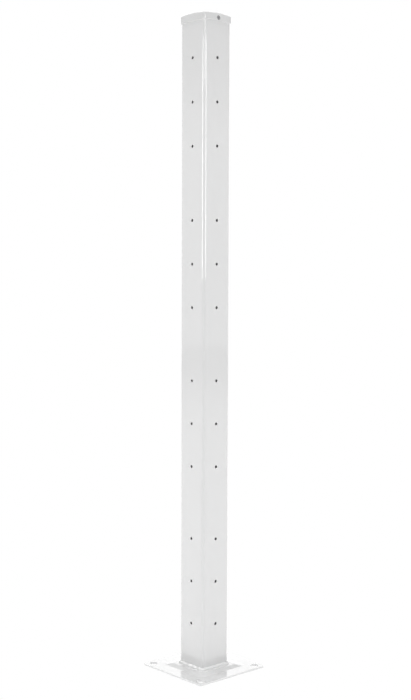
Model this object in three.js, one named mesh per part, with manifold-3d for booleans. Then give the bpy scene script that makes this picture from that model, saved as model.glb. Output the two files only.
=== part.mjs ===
// Guard rail post: a square steel tube welded to a foot plate, with a domed cap over its top end.
// Millimetres, +Z up. The origin is the centre of the underside of the foot plate.
// The drilled faces of the tube look along -Y and +X.

import * as THREE from "three";
import { mergeVertices } from "three/addons/utils/BufferGeometryUtils.js";
import Module from "manifold-3d";

const wasm = await Module();
wasm.setup();

// Driving dimensions
const tubeWidth = 60;
const tubeWall = 2;
const tubeCornerRadius = 5.5;
const tubeTopHeight = 1119;

const plateSide = 150;
const plateThickness = 3;
const plateCornerRadius = 3.5;
const anchorHoleDiameter = 14;
const anchorHoleOffset = 62.5;

const padTopSide = 77;
const padFootSide = 104;
const padFootCornerRadius = 8;
const padRise = 2.5;

const railHoleDiameter = 5;
const railHoleSpacing = 74;
const railHolesPerGroup = 3;
const railGroupCount = 4;
const railGroupPitch = 273;
const lowestRailHole = 82;

const weldLeg = 4.5;

const capBottomHeight = 1109.5;
const capWall = 1.9;
const capSkirtHeight = 10.4;
const capEdgeArch = 2.7;
const capCrown = 1.5;

const screwHeight = 1114.9;
const screwHeadDiameter = 7.6;
const screwShankDiameter = 3.9;
const screwLength = 11;
const screwPointLength = 3;
const screwSlotLength = 4.2;
const screwSlotWidth = 1;
const screwSlotDepth = 1.2;

// The clearance left between neighbouring pieces, and the overshoot of a cutting shape past the surface it cuts
const fitGap = 0.3;
const overshoot = 1;

// Steps of a quarter turn on rounded corners, and sides of round holes and of the screw
const cornerSteps = 6;
const railHoleSides = 20;
const anchorHoleSides = 32;
const screwSides = 28;
const weldSteps = 3;
const domeSteps = 16;

// Worked out from the dimensions above
const tubeHalf = tubeWidth / 2;
const tubeBottomHeight = plateThickness + padRise + fitGap;
const weldBottomHeight = plateThickness + padRise + fitGap;
const capHalf = tubeHalf + fitGap + capWall;
const capCornerRadius = tubeCornerRadius + fitGap + capWall;

// Joining and cutting

function solidOf(geometry) {
  const bare = geometry.index ? geometry.toNonIndexed() : geometry.clone();
  bare.deleteAttribute("normal");
  bare.deleteAttribute("uv");
  const merged = mergeVertices(bare, 1e-4);
  return new wasm.Manifold(
    new wasm.Mesh({
      numProp: 3,
      vertProperties: merged.attributes.position.array,
      triVerts: new Uint32Array(merged.index.array),
    }),
  );
}

function geometryOf(solid) {
  const mesh = solid.getMesh();
  const geometry = new THREE.BufferGeometry();
  geometry.setAttribute("position", new THREE.BufferAttribute(mesh.vertProperties, 3));
  geometry.setIndex(new THREE.BufferAttribute(mesh.triVerts, 1));
  geometry.computeVertexNormals();
  return geometry;
}

// Shapes that several pieces share

function roundedSquare(half, radius) {
  const inner = half - radius;
  const quarter = Math.PI / 2;
  const outline = new THREE.Shape();
  outline.absarc(inner, inner, radius, 0, quarter);
  outline.absarc(-inner, inner, radius, quarter, 2 * quarter);
  outline.absarc(-inner, -inner, radius, 2 * quarter, 3 * quarter);
  outline.absarc(inner, -inner, radius, 3 * quarter, 4 * quarter);
  outline.closePath();
  return outline;
}

function squarePrism(half, radius, bottom, top) {
  const geometry = new THREE.ExtrudeGeometry(roundedSquare(half, radius), {
    depth: top - bottom,
    bevelEnabled: false,
    curveSegments: cornerSteps,
  });
  return solidOf(geometry.translate(0, 0, bottom));
}

function uprightHole(diameter, x, y, bottom, top, sides) {
  const radius = diameter / 2;
  const geometry = new THREE.CylinderGeometry(radius, radius, top - bottom, sides);
  geometry.rotateX(Math.PI / 2);
  return solidOf(geometry.translate(x, y, (bottom + top) / 2));
}

// Post tube: a hollow square section, drilled in groups of three holes up two neighbouring faces

function railHoleHeights() {
  const heights = [];
  for (let group = 0; group < railGroupCount; group++) {
    for (let hole = 0; hole < railHolesPerGroup; hole++) {
      heights.push(lowestRailHole + group * railGroupPitch + hole * railHoleSpacing);
    }
  }
  return heights;
}

function railHoleCutter(height, turn) {
  const radius = railHoleDiameter / 2;
  const depth = tubeWall + 2 * overshoot;
  const geometry = new THREE.CylinderGeometry(radius, radius, depth, railHoleSides);
  geometry.translate(0, -(tubeHalf - tubeWall / 2), 0);
  geometry.rotateZ(turn);
  return solidOf(geometry.translate(0, 0, height));
}

// Turns an outline about the screw's axis. The outline's own axis is Y, with the head's face at zero.
function turnedOnScrewAxis(outline) {
  const geometry = new THREE.LatheGeometry(outline, screwSides);
  geometry.rotateZ(-Math.PI / 2);
  return solidOf(geometry.translate(capHalf, 0, screwHeight));
}

function screwSizes(clearance, length) {
  const headRadius = screwHeadDiameter / 2 + clearance;
  const shankRadius = screwShankDiameter / 2 + clearance;
  const headDepth = (screwHeadDiameter - screwShankDiameter) / 2;
  return {
    headRadius,
    shankRadius,
    headDepth,
    end: -length,
  };
}

function screwClearance() {
  const { headRadius, shankRadius, headDepth, end } = screwSizes(fitGap, screwLength + overshoot);
  return turnedOnScrewAxis([
    new THREE.Vector2(0, end),
    new THREE.Vector2(shankRadius, end),
    new THREE.Vector2(shankRadius, -headDepth),
    new THREE.Vector2(headRadius, 0),
    new THREE.Vector2(headRadius, overshoot),
    new THREE.Vector2(0, overshoot),
  ]);
}

function postTube() {
  let tube = squarePrism(tubeHalf, tubeCornerRadius, tubeBottomHeight, tubeTopHeight);
  const bore = squarePrism(
    tubeHalf - tubeWall,
    tubeCornerRadius - tubeWall,
    tubeBottomHeight - overshoot,
    tubeTopHeight + overshoot,
  );
  tube = tube.subtract(bore);
  for (const turn of [0, Math.PI / 2]) {
    for (const height of railHoleHeights()) {
      tube = tube.subtract(railHoleCutter(height, turn));
    }
  }
  return geometryOf(tube.subtract(screwClearance()));
}

// Base plate: a square of sheet with four anchor holes, pressed up in the middle into a low square pad

// The pad with its four sloping sides, which run on a little below its foot so that it joins the plate
function pressedPad(topHeight) {
  const height = padRise + overshoot;
  const lowestSide = padTopSide + ((padFootSide - padTopSide) * height) / padRise;
  const lowestRadius = (padFootCornerRadius * lowestSide) / padFootSide;
  const geometry = new THREE.ExtrudeGeometry(roundedSquare(lowestSide / 2, lowestRadius), {
    depth: height,
    bevelEnabled: false,
    curveSegments: cornerSteps,
  });
  const points = geometry.attributes.position;
  for (let i = 0; i < points.count; i++) {
    if (points.getZ(i) > height / 2) {
      points.setX(i, (points.getX(i) * padTopSide) / lowestSide);
      points.setY(i, (points.getY(i) * padTopSide) / lowestSide);
    }
  }
  return solidOf(geometry.translate(0, 0, topHeight - height));
}

function basePlate() {
  let plate = squarePrism(plateSide / 2, plateCornerRadius, 0, plateThickness);
  plate = plate.add(pressedPad(plateThickness + padRise));
  plate = plate.subtract(pressedPad(padRise));
  for (const x of [-anchorHoleOffset, anchorHoleOffset]) {
    for (const y of [-anchorHoleOffset, anchorHoleOffset]) {
      const hole = uprightHole(
        anchorHoleDiameter,
        x,
        y,
        -overshoot,
        plateThickness + overshoot,
        anchorHoleSides,
      );
      plate = plate.subtract(hole);
    }
  }
  return geometryOf(plate);
}

// Weld bead: a ring of quarter-round section in the corner between the tube and the pad

function weldBead() {
  const footHalf = tubeHalf + fitGap + weldLeg;
  const footRadius = tubeCornerRadius + fitGap + weldLeg;
  const geometry = new THREE.ExtrudeGeometry(roundedSquare(footHalf, footRadius), {
    depth: overshoot,
    bevelEnabled: true,
    bevelThickness: weldLeg,
    bevelSize: weldLeg,
    bevelOffset: -weldLeg,
    bevelSegments: weldSteps,
    curveSegments: cornerSteps,
  });
  geometry.translate(0, 0, weldBottomHeight - overshoot);
  const lowerHalf = squarePrism(
    footHalf + overshoot,
    footRadius,
    weldBottomHeight - weldLeg - 2 * overshoot,
    weldBottomHeight,
  );
  const tubeSpace = squarePrism(
    tubeHalf + fitGap,
    tubeCornerRadius + fitGap,
    weldBottomHeight - overshoot,
    weldBottomHeight + weldLeg + overshoot,
  );
  return geometryOf(solidOf(geometry).subtract(lowerHalf).subtract(tubeSpace));
}

// Post cap: a square skirt over the end of the tube, with edges that arch up to a shallow dome

function domeHeight(x, y) {
  const u = x / capHalf;
  const v = y / capHalf;
  const arch = 2 * capEdgeArch * (1 - (u * u + v * v) / 2);
  const crown = capCrown * (1 - u * u) * (1 - v * v);
  return capSkirtHeight + arch + crown;
}

function domedBlock(half, radius, drop, bottom) {
  const lowest = capSkirtHeight / 2;
  const block = new THREE.BoxGeometry(2 * half, 2 * half, lowest, domeSteps, domeSteps, 1);
  block.translate(0, 0, lowest / 2);
  const points = block.attributes.position;
  for (let i = 0; i < points.count; i++) {
    if (points.getZ(i) > lowest / 2) {
      points.setZ(i, domeHeight(points.getX(i), points.getY(i)) - drop);
    } else {
      points.setZ(i, bottom);
    }
  }
  block.translate(0, 0, capBottomHeight);
  const highest = capSkirtHeight + 2 * capEdgeArch + capCrown;
  const envelope = squarePrism(
    half,
    radius,
    capBottomHeight + bottom - overshoot,
    capBottomHeight + highest + overshoot,
  );
  return solidOf(block).intersect(envelope);
}

function postCap() {
  const inset = capHalf - capWall;
  const outside = domedBlock(capHalf, capCornerRadius, 0, 0);
  const inside = domedBlock(inset, capCornerRadius - capWall, capWall, -overshoot);
  return geometryOf(outside.subtract(inside).subtract(screwClearance()));
}

// Cap screw: a flush countersunk head with a cross recess, through the skirt and the wall of the tube

function capScrew() {
  const { headRadius, shankRadius, headDepth, end } = screwSizes(0, screwLength);
  let screw = turnedOnScrewAxis([
    new THREE.Vector2(0, end),
    new THREE.Vector2(shankRadius, end + screwPointLength),
    new THREE.Vector2(shankRadius, -headDepth),
    new THREE.Vector2(headRadius, 0),
    new THREE.Vector2(0, 0),
  ]);
  for (const turn of [0, Math.PI / 2]) {
    const slot = new THREE.BoxGeometry(2 * screwSlotDepth, screwSlotLength, screwSlotWidth);
    slot.rotateX(turn);
    screw = screw.subtract(solidOf(slot.translate(capHalf, 0, screwHeight)));
  }
  return geometryOf(screw);
}

// The post, put together

const powderCoat = { color: 0xeeeeee, roughness: 0.12, metalness: 0 };
const capCoat = { color: 0xe2e2e2, roughness: 0.2, metalness: 0 };
const zincSteel = { color: 0x9a9a9a, roughness: 0.3, metalness: 1 };

function piece(name, geometry, finish) {
  const mesh = new THREE.Mesh(geometry, new THREE.MeshStandardMaterial(finish));
  mesh.name = name;
  return mesh;
}

const post = new THREE.Group();
post.name = "guard_rail_post";
post.add(piece("base_plate", basePlate(), powderCoat));
post.add(piece("post_tube", postTube(), powderCoat));
post.add(piece("weld_bead", weldBead(), powderCoat));
post.add(piece("post_cap", postCap(), capCoat));
post.add(piece("cap_screw", capScrew(), zincSteel));

export default post;
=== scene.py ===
# Guard rail post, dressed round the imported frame. Metres, +Z up, origin under the middle of the plate.
import math

import bpy
from mathutils import Matrix, Vector


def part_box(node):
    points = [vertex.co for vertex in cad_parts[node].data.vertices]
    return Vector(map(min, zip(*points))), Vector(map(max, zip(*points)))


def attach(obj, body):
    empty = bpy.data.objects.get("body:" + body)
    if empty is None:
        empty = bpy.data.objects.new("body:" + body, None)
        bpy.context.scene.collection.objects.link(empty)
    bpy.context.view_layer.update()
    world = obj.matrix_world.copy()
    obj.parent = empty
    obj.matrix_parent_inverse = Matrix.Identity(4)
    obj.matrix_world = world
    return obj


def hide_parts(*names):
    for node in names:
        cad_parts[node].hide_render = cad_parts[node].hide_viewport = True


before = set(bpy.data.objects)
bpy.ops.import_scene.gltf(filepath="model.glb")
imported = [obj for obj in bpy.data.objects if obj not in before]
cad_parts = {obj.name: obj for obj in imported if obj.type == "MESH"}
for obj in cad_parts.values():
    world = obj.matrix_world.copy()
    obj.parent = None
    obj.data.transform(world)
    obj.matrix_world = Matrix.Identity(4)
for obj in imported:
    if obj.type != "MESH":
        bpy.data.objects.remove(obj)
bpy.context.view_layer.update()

# The camera stands off the near corner, a little under two thirds of the way up the post, and looks
# slightly down. Its place comes from the holes, edges and plate corners in the photograph.
eye_place = Vector((1.5144, -1.3533, 0.6675))
eye_turn = math.radians(48.184)
eye_pitch = math.radians(-3.185)
eye_roll = math.radians(0.184)
focal_pixels = 1178.6
picture_long_side = 700
film_width = 36.0

bpy.ops.object.select_all(action="DESELECT")
bpy.ops.object.camera_add(location=eye_place)
camera = bpy.context.object
camera.name = "camera"
camera.data.sensor_width = film_width
camera.data.lens = film_width * focal_pixels / picture_long_side
camera.rotation_mode = "QUATERNION"
camera.rotation_quaternion = (
    Matrix.Rotation(eye_turn, 3, "Z")
    @ Matrix.Rotation(math.pi / 2 + eye_pitch, 3, "X")
    @ Matrix.Rotation(eye_roll, 3, "Z")
).to_quaternion()
bpy.context.scene.camera = camera

# The studio is a white floor that glows a little and has no edge in the picture, walls that are bright
# near the floor and dim higher up, a bright backdrop behind the post, and six soft lights.
bpy.context.scene.view_settings.view_transform = "Standard"

floor_side = 16
floor_white = 0.9
floor_roughness = 0.9
floor_glow = 0.22
horizon_light = 0.82
horizon_top = 0.10
wall_light = 0.32
wall_bottom = 0.22
backdrop_light = 1.4
backdrop_rise = 0.30
backdrop_way = Vector((-math.sin(eye_turn), math.cos(eye_turn), backdrop_rise)).normalized()
backdrop_edge_inner = math.cos(math.radians(11))
backdrop_edge_outer = math.cos(math.radians(21))
lamp_aim = Vector((0, 0, 0.65))

bpy.ops.mesh.primitive_plane_add(size=floor_side, location=(0, 0, 0))
floor = bpy.context.object
floor.name = "studio_floor"
floor_paint = bpy.data.materials.new("white floor")
floor_paint.use_nodes = True
nodes = floor_paint.node_tree.nodes
links = floor_paint.node_tree.links
matt = nodes["Principled BSDF"]
matt.inputs["Base Color"].default_value = (floor_white, floor_white, floor_white, 1)
matt.inputs["Roughness"].default_value = floor_roughness
matt.inputs["Emission Color"].default_value = (1, 1, 1, 1)
matt.inputs["Emission Strength"].default_value = floor_glow
plain_white = nodes.new("ShaderNodeEmission")
rays = nodes.new("ShaderNodeLightPath")
choice = nodes.new("ShaderNodeMixShader")
links.new(rays.outputs["Is Camera Ray"], choice.inputs["Fac"])
links.new(matt.outputs["BSDF"], choice.inputs[1])
links.new(plain_white.outputs["Emission"], choice.inputs[2])
links.new(choice.outputs["Shader"], nodes["Material Output"].inputs["Surface"])
floor.data.materials.append(floor_paint)

studio = bpy.data.worlds.new("studio")
studio.use_nodes = True
bpy.context.scene.world = studio
nodes = studio.node_tree.nodes
links = studio.node_tree.links
air = nodes["Background"]
air.inputs["Color"].default_value = (1, 1, 1, 1)
sight = nodes.new("ShaderNodeTexCoord")
sight_parts = nodes.new("ShaderNodeSeparateXYZ")
walls = nodes.new("ShaderNodeMapRange")
walls.interpolation_type = "SMOOTHSTEP"
walls.inputs["From Min"].default_value = horizon_top
walls.inputs["From Max"].default_value = wall_bottom
walls.inputs["To Min"].default_value = horizon_light
walls.inputs["To Max"].default_value = wall_light
towards_backdrop = nodes.new("ShaderNodeVectorMath")
towards_backdrop.operation = "DOT_PRODUCT"
towards_backdrop.inputs[1].default_value = backdrop_way
backdrop = nodes.new("ShaderNodeMapRange")
backdrop.interpolation_type = "SMOOTHSTEP"
backdrop.inputs["From Min"].default_value = backdrop_edge_outer
backdrop.inputs["From Max"].default_value = backdrop_edge_inner
backdrop.inputs["To Max"].default_value = backdrop_light
rays = nodes.new("ShaderNodeLightPath")
white_in_picture = nodes.new("ShaderNodeMapRange")
white_in_picture.inputs["To Max"].default_value = 1.0
links.new(sight.outputs["Generated"], sight_parts.inputs["Vector"])
links.new(sight_parts.outputs["Z"], walls.inputs["Value"])
links.new(sight.outputs["Generated"], towards_backdrop.inputs[0])
links.new(towards_backdrop.outputs["Value"], backdrop.inputs["Value"])
links.new(walls.outputs["Result"], backdrop.inputs["To Min"])
links.new(rays.outputs["Is Camera Ray"], white_in_picture.inputs["Value"])
links.new(backdrop.outputs["Result"], white_in_picture.inputs["To Min"])
links.new(white_in_picture.outputs["Result"], air.inputs["Strength"])


def soft_light(name, bearing, elevation, distance, size, brightness):
    """A soft light facing the post. Its bearing runs from -Y towards +X, and brightness 1 is white card."""
    width, height = size
    turn = math.radians(bearing)
    lean = math.radians(elevation)
    way = Vector((math.sin(turn) * math.cos(lean), -math.cos(turn) * math.cos(lean), math.sin(lean)))
    bpy.ops.object.light_add(type="AREA", location=way * distance + lamp_aim)
    lamp = bpy.context.object
    lamp.name = name
    lamp.data.shape = "RECTANGLE"
    lamp.data.size = width
    lamp.data.size_y = height
    lamp.data.energy = brightness * math.pi * width * height
    lamp.rotation_euler = (-way).to_track_quat("-Z", "Y").to_euler()


soft_light("left_softbox", bearing=-14, elevation=8.2, distance=6, size=(2.6, 1.6), brightness=4.3)
soft_light("right_softbox", bearing=104, elevation=8.2, distance=6, size=(2.6, 1.6), brightness=3.8)
soft_light("strip_above_camera", bearing=62, elevation=15.1, distance=6, size=(2.0, 0.46), brightness=3.2)
soft_light("high_left_softbox", bearing=-65, elevation=44, distance=5, size=(2.2, 2.2), brightness=2.8)
soft_light("high_right_softbox", bearing=158, elevation=44, distance=5, size=(2.2, 2.2), brightness=2.5)
soft_light("top_softbox", bearing=0, elevation=90, distance=4.4, size=(4.2, 4.2), brightness=1.75)

# Base plate: 3 mm steel sheet, laser cut with four anchor holes, its middle pressed up into a low
# square pad for the tube, then powder coated with the rest. It lies flat on the floor. Its coat is painted
# whiter than the tube's, as painted light that stands in for light falling on the plate.
millimetre = 0.001
plate_low, plate_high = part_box("base_plate")
plate_side = plate_high.x - plate_low.x
sheet = 3 * millimetre
pad_rise = plate_high.z - plate_low.z - sheet
pad_foot_side = 104 * millimetre
pad_top_side = 77 * millimetre
pad_foot_radius = 8 * millimetre
plate_corner_radius = 3.5 * millimetre
anchor_hole_radius = 7 * millimetre
anchor_hole_offset = 62.5 * millimetre
anchor_drill_length = 4 * sheet
anchor_drill_sides = 64
upright = (0, 0, 0)
corner_steps = 12
flank_steepness = (0.75, 1, 1, 1, 1, 1, 1, 0.75)
plate_edge_softness = 0.25 * millimetre
slack = 0.1 * millimetre


def nothing_selected():
    """Leaves edit mode and deselects every object."""
    if bpy.context.object and bpy.context.object.mode == "EDIT":
        bpy.ops.object.mode_set(mode="OBJECT")
    bpy.ops.object.select_all(action="DESELECT")


def select_only(piece):
    """Leaves edit mode and selects one piece alone, as the active one."""
    nothing_selected()
    piece.select_set(True)
    bpy.context.view_layer.objects.active = piece


def new_square(name, side, height, corner_radius):
    """A flat square face with rounded corners, left in edit mode with all of it selected."""
    nothing_selected()
    bpy.ops.mesh.primitive_plane_add(size=side, location=(0, 0, height))
    square = bpy.context.object
    square.name = name
    square.data.name = name
    bpy.ops.object.transform_apply(location=True, rotation=True, scale=True)
    bpy.ops.object.mode_set(mode="EDIT")
    bpy.ops.mesh.select_all(action="SELECT")
    bpy.ops.mesh.bevel(
        affect="VERTICES", offset_type="OFFSET", offset=corner_radius, segments=corner_steps, profile=0.5
    )
    bpy.ops.mesh.select_all(action="SELECT")
    return square


def select_edges(piece, wanted):
    """Selects the edges of a piece in edit mode whose two ends both pass the test."""
    bpy.ops.mesh.select_mode(type="EDGE")
    bpy.ops.mesh.select_all(action="DESELECT")
    bpy.ops.object.mode_set(mode="OBJECT")
    points = piece.data.vertices
    for edge in piece.data.edges:
        edge.select = all(wanted(points[i].co) for i in edge.vertices)
    bpy.ops.object.mode_set(mode="EDIT")


def face_outwards():
    """Turns all faces of the piece in edit mode to its outer side, and leaves edit mode."""
    bpy.ops.mesh.select_all(action="SELECT")
    bpy.ops.mesh.normals_make_consistent(inside=False)
    bpy.ops.object.mode_set(mode="OBJECT")


def apply_modifier(piece, kind, **settings):
    """Adds one modifier to a piece and applies it."""
    select_only(piece)
    modifier = piece.modifiers.new(kind.lower(), kind)
    for key, value in settings.items():
        setattr(modifier, key, value)
    bpy.ops.object.modifier_apply(modifier=modifier.name)


def drill(place, turn, radius, length, sides):
    """A round cutter for one hole, its middle at the place given."""
    nothing_selected()
    bpy.ops.mesh.primitive_cylinder_add(
        vertices=sides, radius=radius, depth=length, location=place, rotation=turn
    )
    return bpy.context.object


def cut_away(piece, cutters):
    """Cuts the joined cutters out of a piece and removes them."""
    nothing_selected()
    for cutter in cutters:
        cutter.select_set(True)
    bpy.context.view_layer.objects.active = cutters[0]
    if len(cutters) > 1:
        bpy.ops.object.join()
    tool = bpy.context.object
    apply_modifier(piece, "BOOLEAN", operation="DIFFERENCE", solver="EXACT", object=tool)
    bpy.data.objects.remove(tool)


def merge_flat_faces(piece):
    """Takes out the edges that a cut has left in flat faces."""
    flat_within = math.radians(0.05)
    select_only(piece)
    bpy.ops.object.mode_set(mode="EDIT")
    bpy.ops.mesh.select_all(action="SELECT")
    bpy.ops.mesh.dissolve_limited(angle_limit=flat_within, use_dissolve_boundaries=False)
    bpy.ops.object.mode_set(mode="OBJECT")


def soften_edges(piece, width, steps):
    """Rounds the sharp edges of a piece as the coat does."""
    sharp_from = math.radians(35)
    apply_modifier(
        piece, "BEVEL", width=width, segments=steps, limit_method="ANGLE", angle_limit=sharp_from
    )


def shade_smooth_below(piece, degrees):
    """Shades a piece smooth across edges that turn less than the angle given."""
    select_only(piece)
    bpy.ops.object.shade_smooth_by_angle(angle=math.radians(degrees))


def keep_flats_even(piece):
    """Lets the large flat faces of a piece rule its shading, so that they mirror like flat metal."""
    apply_modifier(piece, "WEIGHTED_NORMAL", mode="FACE_AREA", keep_sharp=True)


def powder_coat(name, white, rough_low, rough_high, peel):
    """Sprayed and baked powder: a faint orange-peel skin, gloss that varies slowly, nearly even white."""
    faint_shade = (white * 0.985, white * 0.988, white * 0.99, 1)
    paint_ior = 1.5
    top_ior = 1.7
    tone_patches = 9
    peel_bumps = 450
    peel_depth = 0.02 * millimetre
    paint = bpy.data.materials.new(name)
    paint.use_nodes = True
    nodes = paint.node_tree.nodes
    links = paint.node_tree.links
    shader = nodes["Principled BSDF"]
    shader.inputs["IOR"].default_value = paint_ior
    shader.inputs["Coat Weight"].default_value = 1.0
    shader.inputs["Coat Roughness"].default_value = rough_low
    shader.inputs["Coat IOR"].default_value = top_ior
    place = nodes.new("ShaderNodeTexCoord")

    drift = nodes.new("ShaderNodeTexNoise")
    drift.inputs["Scale"].default_value = tone_patches
    drift.inputs["Detail"].default_value = 3
    tone = nodes.new("ShaderNodeMix")
    tone.data_type = "RGBA"
    tone.inputs["A"].default_value = faint_shade
    tone.inputs["B"].default_value = (white, white, white, 1)
    links.new(place.outputs["Object"], drift.inputs["Vector"])
    links.new(drift.outputs["Fac"], tone.inputs["Factor"])
    links.new(tone.outputs["Result"], shader.inputs["Base Color"])

    roughness = nodes.new("ShaderNodeMapRange")
    roughness.inputs["To Min"].default_value = rough_low
    roughness.inputs["To Max"].default_value = rough_high
    links.new(drift.outputs["Fac"], roughness.inputs["Value"])
    links.new(roughness.outputs["Result"], shader.inputs["Roughness"])

    skin = nodes.new("ShaderNodeTexNoise")
    skin.inputs["Scale"].default_value = peel_bumps
    skin.inputs["Detail"].default_value = 2
    bump = nodes.new("ShaderNodeBump")
    bump.inputs["Strength"].default_value = peel
    bump.inputs["Distance"].default_value = peel_depth
    links.new(place.outputs["Object"], skin.inputs["Vector"])
    links.new(skin.outputs["Fac"], bump.inputs["Height"])
    links.new(bump.outputs["Normal"], shader.inputs["Normal"])
    links.new(bump.outputs["Normal"], shader.inputs["Coat Normal"])
    return paint


def give_material(piece, material):
    """Gives a piece one material and no other."""
    piece.data.materials.clear()
    piece.data.materials.append(material)


base_plate = new_square("pressed_base_plate", pad_foot_side, sheet, pad_foot_radius)
bpy.ops.mesh.delete(type="ONLY_FACE")
bpy.ops.mesh.select_mode(type="EDGE")
bpy.ops.mesh.select_all(action="SELECT")
ring_side = pad_foot_side
ring_step = (pad_foot_side - pad_top_side) / len(flank_steepness)
for steepness in flank_steepness:
    ring_rise = pad_rise * steepness / sum(flank_steepness)
    bpy.ops.mesh.extrude_region_move(TRANSFORM_OT_translate={"value": (0, 0, ring_rise)})
    narrower = (ring_side - ring_step) / ring_side
    bpy.ops.transform.resize(value=(narrower, narrower, 1), center_override=(0, 0, 0))
    ring_side -= ring_step
bpy.ops.mesh.edge_face_add()

plate_outline = new_square("plate_outline", plate_side, sheet, plate_corner_radius)
bpy.ops.mesh.delete(type="ONLY_FACE")
select_only(base_plate)
plate_outline.select_set(True)
bpy.ops.object.join()
bpy.ops.object.mode_set(mode="EDIT")
select_edges(base_plate, lambda point: point.z < sheet + slack)
bpy.ops.mesh.fill(use_beauty=True)
face_outwards()
apply_modifier(base_plate, "SOLIDIFY", thickness=sheet, offset=-1, use_even_offset=False)

anchor_drills = []
for x in (-anchor_hole_offset, anchor_hole_offset):
    for y in (-anchor_hole_offset, anchor_hole_offset):
        anchor_drills.append(
            drill((x, y, 0), upright, anchor_hole_radius, anchor_drill_length, anchor_drill_sides)
        )
cut_away(base_plate, anchor_drills)
merge_flat_faces(base_plate)
soften_edges(base_plate, plate_edge_softness, steps=3)
shade_smooth_below(base_plate, degrees=50)
keep_flats_even(base_plate)
# Painted light: the plate's white is set above the tube's, though both wear the same powder coat.
plate_coat_painted_lighter = powder_coat("plate powder coat", white=0.85, rough_low=0.015, rough_high=0.03, peel=0.03)
give_material(base_plate, plate_coat_painted_lighter)
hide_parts("base_plate")
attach(base_plate, "root")

# Post tube: a 60 mm square steel tube with a 2 mm wall and rolled corners, drilled in groups of three
# 5 mm holes up the two faces that take rails. It stands on the pad, and the coat goes into the holes.
tube_low, tube_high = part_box("post_tube")
tube_side = tube_high.x - tube_low.x
half_side = tube_side / 2
tube_foot = sheet + pad_rise
tube_wall = 2 * millimetre
tube_corner_radius = 5.5 * millimetre
rail_hole_radius = 2.5 * millimetre
lowest_rail_hole = 82 * millimetre
rail_hole_spacing = 74 * millimetre
rail_group_pitch = 273 * millimetre
rail_groups = 4
holes_in_group = 3
screw_height = 1114.9 * millimetre
screw_hole_radius = 2.1 * millimetre
drill_length = 4 * tube_wall
drill_sides = 32
hole_rim_softness = 0.3 * millimetre
along_x = (0, math.pi / 2, 0)
along_y = (math.pi / 2, 0, 0)

post_tube = new_square("drilled_post_tube", tube_side, tube_foot, tube_corner_radius)
bpy.ops.mesh.inset(thickness=tube_wall, depth=0)
bpy.ops.mesh.delete(type="FACE")
bpy.ops.mesh.select_all(action="SELECT")
bpy.ops.mesh.extrude_region_move(TRANSFORM_OT_translate={"value": (0, 0, tube_high.z - tube_foot)})
face_outwards()

tube_drills = [drill((half_side, 0, screw_height), along_x, screw_hole_radius, drill_length, drill_sides)]
for group in range(rail_groups):
    for hole in range(holes_in_group):
        up = lowest_rail_hole + group * rail_group_pitch + hole * rail_hole_spacing
        for place, turn in ((0, -half_side, up), along_y), ((half_side, 0, up), along_x):
            tube_drills.append(drill(place, turn, rail_hole_radius, drill_length, drill_sides))
cut_away(post_tube, tube_drills)
merge_flat_faces(post_tube)
soften_edges(post_tube, hole_rim_softness, steps=2)
shade_smooth_below(post_tube, degrees=50)
keep_flats_even(post_tube)
tube_coat = powder_coat("tube powder coat", white=0.80, rough_low=0.02, rough_high=0.04, peel=0.03)
give_material(post_tube, tube_coat)
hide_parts("post_tube")
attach(post_tube, "root")

# Weld bead: one fillet weld run round the foot of the tube, fused to the tube and the pad, with the
# lumps and ripples of hand welding under the powder coat. It is lumpiest along the -Y face. Its coat is
# painted whiter than the tube's, as painted light that lifts the shaded lower side of the bead.
weld_low, weld_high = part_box("weld_bead")
weld_side = weld_high.x - weld_low.x
weld_overlap = 0.8 * millimetre
weld_bottom = plate_high.z - weld_overlap
weld_headroom = 0.3 * millimetre
weld_rise = weld_high.z - weld_bottom - weld_headroom
weld_reach = (weld_side - tube_side) / 2 + weld_overlap
weld_corner_radius = tube_corner_radius + weld_reach
weld_steps = 10
weld_edge_cuts = 90
weld_fullness = 0.5
wood_band_pitch = 0.628
ripple_pitch = 3 * millimetre
ripple_height = 0.35 * millimetre
ripple_patch = 4
ripple_waver = 2
lump_size = 7 * millimetre
lump_height = 0.6 * millimetre
front_lump_height = 1.4 * millimetre


def draw_in_and_lift(inward, upward):
    """Insets the selected face by one ring and lifts what is inside it."""
    bpy.ops.mesh.inset(thickness=inward, depth=0)
    bpy.ops.transform.translate(value=(0, 0, upward))


def quarter_round(reach, rise, steps, fullness=1):
    """The inward and upward steps of an edge that turns from upright to level. Fullness 0 is a chamfer."""
    for step in range(steps):
        start = math.pi / 2 * step / steps
        stop = math.pi / 2 * (step + 1) / steps
        inward = fullness * (math.cos(start) - math.cos(stop)) + (1 - fullness) / steps
        upward = fullness * (math.sin(stop) - math.sin(start)) + (1 - fullness) / steps
        yield reach * inward, rise * upward


def divide_straight_edges(square, side, corner_radius, cuts):
    """Divides the four straight edges of a rounded square, and selects its face again."""
    straight = side / 2 - corner_radius + slack
    select_edges(square, lambda point: min(abs(point.x), abs(point.y)) < straight)
    bpy.ops.mesh.subdivide(number_cuts=cuts)
    bpy.ops.mesh.select_mode(type="FACE")
    bpy.ops.mesh.select_all(action="SELECT")


def drop_open_edge(to_height):
    """Draws the open edge of the piece in edit mode down to a level edge at a height."""
    bpy.ops.mesh.select_mode(type="EDGE")
    bpy.ops.mesh.select_all(action="SELECT")
    bpy.ops.mesh.region_to_loop()
    bpy.ops.mesh.extrude_region_move()
    bpy.ops.transform.resize(value=(1, 1, 0), center_override=(0, 0, to_height))


weld_bead = new_square("weld_bead_run", weld_side, weld_bottom, weld_corner_radius)
divide_straight_edges(weld_bead, weld_side, weld_corner_radius, weld_edge_cuts)
for inward, upward in quarter_round(weld_reach, weld_rise, weld_steps, weld_fullness):
    draw_in_and_lift(inward, upward)
bpy.ops.mesh.delete(type="ONLY_FACE")

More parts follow.
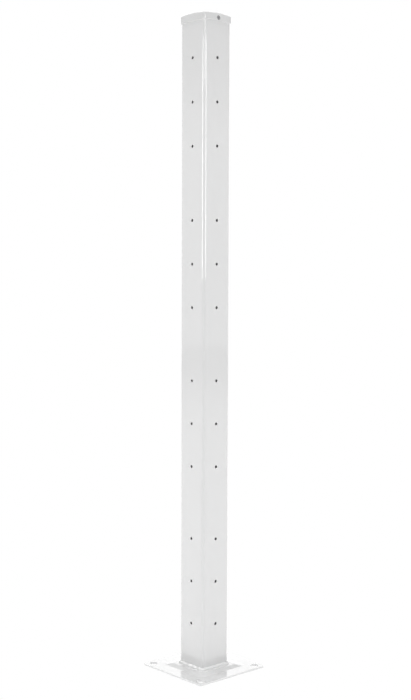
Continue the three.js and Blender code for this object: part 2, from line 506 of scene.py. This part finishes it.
# A wood texture has a band every 0.628 of its own units, so its frame is scaled to the ripples' pitch.
nothing_selected()
bpy.ops.object.empty_add(location=(0, 0, 0))
ripple_frame = bpy.context.object
ripple_frame.scale = (ripple_pitch / wood_band_pitch,) * 3
bpy.context.view_layer.update()
ripples = bpy.data.textures.new("weld ripples", "WOOD")
ripples.wood_type = "BANDNOISE"
ripples.noise_scale = ripple_patch
ripples.turbulence = ripple_waver
lumps = bpy.data.textures.new("weld lumps", "CLOUDS")
lumps.noise_scale = lump_size
lumps.noise_depth = 0
front_run = weld_bead.vertex_groups.new(name="front_run")
front_points = [point.index for point in weld_bead.data.vertices if point.co.y < -half_side]
front_run.add(front_points, 1, "REPLACE")
apply_modifier(
    weld_bead,
    "DISPLACE",
    texture=ripples,
    texture_coords="OBJECT",
    texture_coords_object=ripple_frame,
    strength=ripple_height,
)
apply_modifier(weld_bead, "DISPLACE", texture=lumps, strength=lump_height)
extra_height = front_lump_height - lump_height
apply_modifier(weld_bead, "DISPLACE", texture=lumps, strength=extra_height, vertex_group="front_run")
bpy.data.objects.remove(ripple_frame)
weld_bead.vertex_groups.clear()

select_only(weld_bead)
bpy.ops.object.mode_set(mode="EDIT")
drop_open_edge(weld_bottom)
bpy.ops.mesh.bridge_edge_loops()
face_outwards()
shade_smooth_below(weld_bead, degrees=60)
# Painted light: the weld's white is set above the tube's, though both wear the same powder coat.
weld_coat_painted_lighter = powder_coat("weld powder coat", white=0.90, rough_low=0.10, rough_high=0.25, peel=0.06)
give_material(weld_bead, weld_coat_painted_lighter)
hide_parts("weld_bead")
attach(weld_bead, "root")

# Post cap: sheet steel of about 2 mm pressed over the end of the tube, with a square skirt, a rounded
# rim that arches up along each side, and a shallow dome. Its coat is a shade greyer than the post's.
cap_low, cap_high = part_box("post_cap")
cap_side = cap_high.x - cap_low.x
cap_face = cap_high.x
cap_wall = 2.1 * millimetre
cap_corner_radius = 7.7 * millimetre
cap_skirt = 10.4 * millimetre
cap_rim_height = cap_low.z + cap_skirt
cap_rim_radius = 1.2 * millimetre
cap_foot_radius = 0.4 * millimetre
cap_arch = 5.4 * millimetre
crown_clearance = 0.001 * millimetre
cap_crown = cap_high.z - cap_rim_height - cap_arch - crown_clearance
cap_edge_cuts = 23
rim_steps = 5
foot_steps = 3
corner_rings = 3
shortest_edge = 0.8 * millimetre
dome_reach = cap_side / math.sqrt(2)
hollow_rim_radius = 0.3 * millimetre
cut_overrun = 1 * millimetre
screw_low, screw_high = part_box("cap_screw")
screw_head_radius = (screw_high.z - screw_low.z) / 2
screw_shank_radius = 1.95 * millimetre
screw_gap = 0.08 * millimetre
screw_sides = 48
head_depth = screw_head_radius - screw_shank_radius


def select_points(piece, wanted):
    """Selects the points of a piece in edit mode that pass the test."""
    bpy.ops.mesh.select_mode(type="VERT")
    bpy.ops.mesh.select_all(action="DESELECT")
    bpy.ops.object.mode_set(mode="OBJECT")
    for point in piece.data.vertices:
        point.select = wanted(point.co)
    bpy.ops.object.mode_set(mode="EDIT")


def domed_block(name, side, corner_radius, rim_radius, rim_height, bottom, foot_radius):
    """A closed square block with rounded corners, whose rim arches and whose top is a shallow dome."""
    block = new_square(name, side, rim_height - rim_radius, corner_radius)
    divide_straight_edges(block, side, corner_radius, cap_edge_cuts)
    for inward, upward in quarter_round(rim_radius, rim_radius, rim_steps):
        draw_in_and_lift(inward, upward)
    for ring in range(corner_rings):
        draw_in_and_lift((corner_radius - rim_radius) / corner_rings, 0)
    bpy.ops.mesh.remove_doubles(threshold=shortest_edge)
    bpy.ops.mesh.delete(type="ONLY_FACE")
    inner_square = side / 2 - corner_radius + slack
    select_edges(block, lambda point: max(abs(point.x), abs(point.y)) < inner_square)
    bpy.ops.mesh.fill_grid(span=cap_edge_cuts + 1)
    for lift, reach, falloff in (
        (cap_arch, dome_reach, "INVERSE_SQUARE"),
        (cap_crown, cap_side / 2, "SMOOTH"),
    ):
        select_points(block, lambda point: math.hypot(point.x, point.y) < slack)
        bpy.ops.transform.translate(
            value=(0, 0, lift),
            use_proportional_edit=True,
            proportional_edit_falloff=falloff,
            proportional_size=reach,
        )
    drop_open_edge(bottom + foot_radius)
    bpy.ops.mesh.edge_face_add()
    bpy.ops.mesh.select_mode(type="FACE")
    if foot_radius:
        for inward, upward in quarter_round(foot_radius, foot_radius, foot_steps):
            draw_in_and_lift(inward, -upward)
    face_outwards()
    return block


def turned_along_x(name, stations):
    """A closed round body along X at the screw's height, from its (place, radius) stations."""
    nothing_selected()
    place, radius = stations[0]
    bpy.ops.mesh.primitive_circle_add(
        vertices=screw_sides,
        radius=radius,
        fill_type="NGON",
        location=(place, 0, screw_height),
        rotation=along_x,
    )
    body = bpy.context.object
    body.name = name
    body.data.name = name
    bpy.ops.object.transform_apply(location=True, rotation=True, scale=True)
    bpy.ops.object.mode_set(mode="EDIT")
    bpy.ops.mesh.select_mode(type="FACE")
    bpy.ops.mesh.select_all(action="SELECT")
    for next_place, next_radius in stations[1:]:
        bpy.ops.mesh.extrude_region_move(TRANSFORM_OT_translate={"value": (next_place - place, 0, 0)})
        bpy.ops.transform.resize(
            value=(1, next_radius / radius, next_radius / radius),
            center_override=(next_place, 0, screw_height),
        )
        place, radius = next_place, next_radius
    face_outwards()
    return body


post_cap = domed_block(
    "pressed_post_cap",
    side=cap_side,
    corner_radius=cap_corner_radius,
    rim_radius=cap_rim_radius,
    rim_height=cap_rim_height,
    bottom=cap_low.z,
    foot_radius=cap_foot_radius,
)
cap_hollow = domed_block(
    "cap_hollow",
    side=cap_side - 2 * cap_wall,
    corner_radius=cap_corner_radius - cap_wall,
    rim_radius=hollow_rim_radius,
    rim_height=cap_rim_height - cap_wall,
    bottom=cap_low.z - cut_overrun,
    foot_radius=0,
)
cut_away(post_cap, [cap_hollow])
countersink = turned_along_x(
    "countersink",
    (
        (cap_face + cut_overrun, screw_head_radius + screw_gap),
        (cap_face, screw_head_radius + screw_gap),
        (cap_face - head_depth, screw_shank_radius + screw_gap),
        (cap_face - 3 * cap_wall, screw_shank_radius + screw_gap),
    ),
)
cut_away(post_cap, [countersink])
merge_flat_faces(post_cap)
shade_smooth_below(post_cap, degrees=40)
keep_flats_even(post_cap)
cap_coat = powder_coat("cap coat", white=0.76, rough_low=0.04, rough_high=0.07, peel=0.05)
give_material(post_cap, cap_coat)
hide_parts("post_cap")
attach(post_cap, "root")

# Cap screw: one zinc-plated steel screw with a flush countersunk head and a cross recess, driven
# through the skirt of the cap into the wall of the tube.
screw_tip = screw_low.x
screw_tip_radius = 0.1 * millimetre
screw_point_length = 3 * millimetre
head_rim = 0.15 * millimetre
recess_length = 4.2 * millimetre
recess_width = 1.0 * millimetre
recess_depth = 1.2 * millimetre
recess_taper = 0.45
zinc_dark = (0.50, 0.50, 0.51, 1)
zinc_light = (0.60, 0.60, 0.61, 1)
zinc_rough_low = 0.18
zinc_rough_high = 0.34
zinc_grain = 900

cap_screw = turned_along_x(
    "countersunk_cap_screw",
    (
        (cap_face, screw_head_radius - head_rim),
        (cap_face - head_rim, screw_head_radius),
        (cap_face - head_depth, screw_shank_radius),
        (screw_tip + screw_point_length, screw_shank_radius),
        (screw_tip, screw_tip_radius),
    ),
)
for width, height in ((recess_length, recess_width), (recess_width, recess_length)):
    nothing_selected()
    bpy.ops.mesh.primitive_cube_add(size=1, location=(cap_face, 0, screw_height))
    recess = bpy.context.object
    recess.scale = (2 * recess_depth, width, height)
    bpy.ops.object.transform_apply(location=True, rotation=True, scale=True)
    bpy.ops.object.mode_set(mode="EDIT")
    select_points(recess, lambda point: point.x < cap_face)
    bpy.ops.transform.resize(
        value=(1, recess_taper, recess_taper), center_override=(cap_face, 0, screw_height)
    )
    cut_away(cap_screw, [recess])
shade_smooth_below(cap_screw, degrees=30)

zinc = bpy.data.materials.new("zinc-plated steel")
zinc.use_nodes = True
nodes = zinc.node_tree.nodes
links = zinc.node_tree.links
shader = nodes["Principled BSDF"]
shader.inputs["Metallic"].default_value = 1.0
place = nodes.new("ShaderNodeTexCoord")
grain = nodes.new("ShaderNodeTexNoise")
grain.inputs["Scale"].default_value = zinc_grain
grain.inputs["Detail"].default_value = 3
tone = nodes.new("ShaderNodeMix")
tone.data_type = "RGBA"
tone.inputs["A"].default_value = zinc_dark
tone.inputs["B"].default_value = zinc_light
roughness = nodes.new("ShaderNodeMapRange")
roughness.inputs["To Min"].default_value = zinc_rough_low
roughness.inputs["To Max"].default_value = zinc_rough_high
links.new(place.outputs["Object"], grain.inputs["Vector"])
links.new(grain.outputs["Fac"], tone.inputs["Factor"])
links.new(tone.outputs["Result"], shader.inputs["Base Color"])
links.new(grain.outputs["Fac"], roughness.inputs["Value"])
links.new(roughness.outputs["Result"], shader.inputs["Roughness"])
give_material(cap_screw, zinc)
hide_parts("cap_screw")
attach(cap_screw, "root")
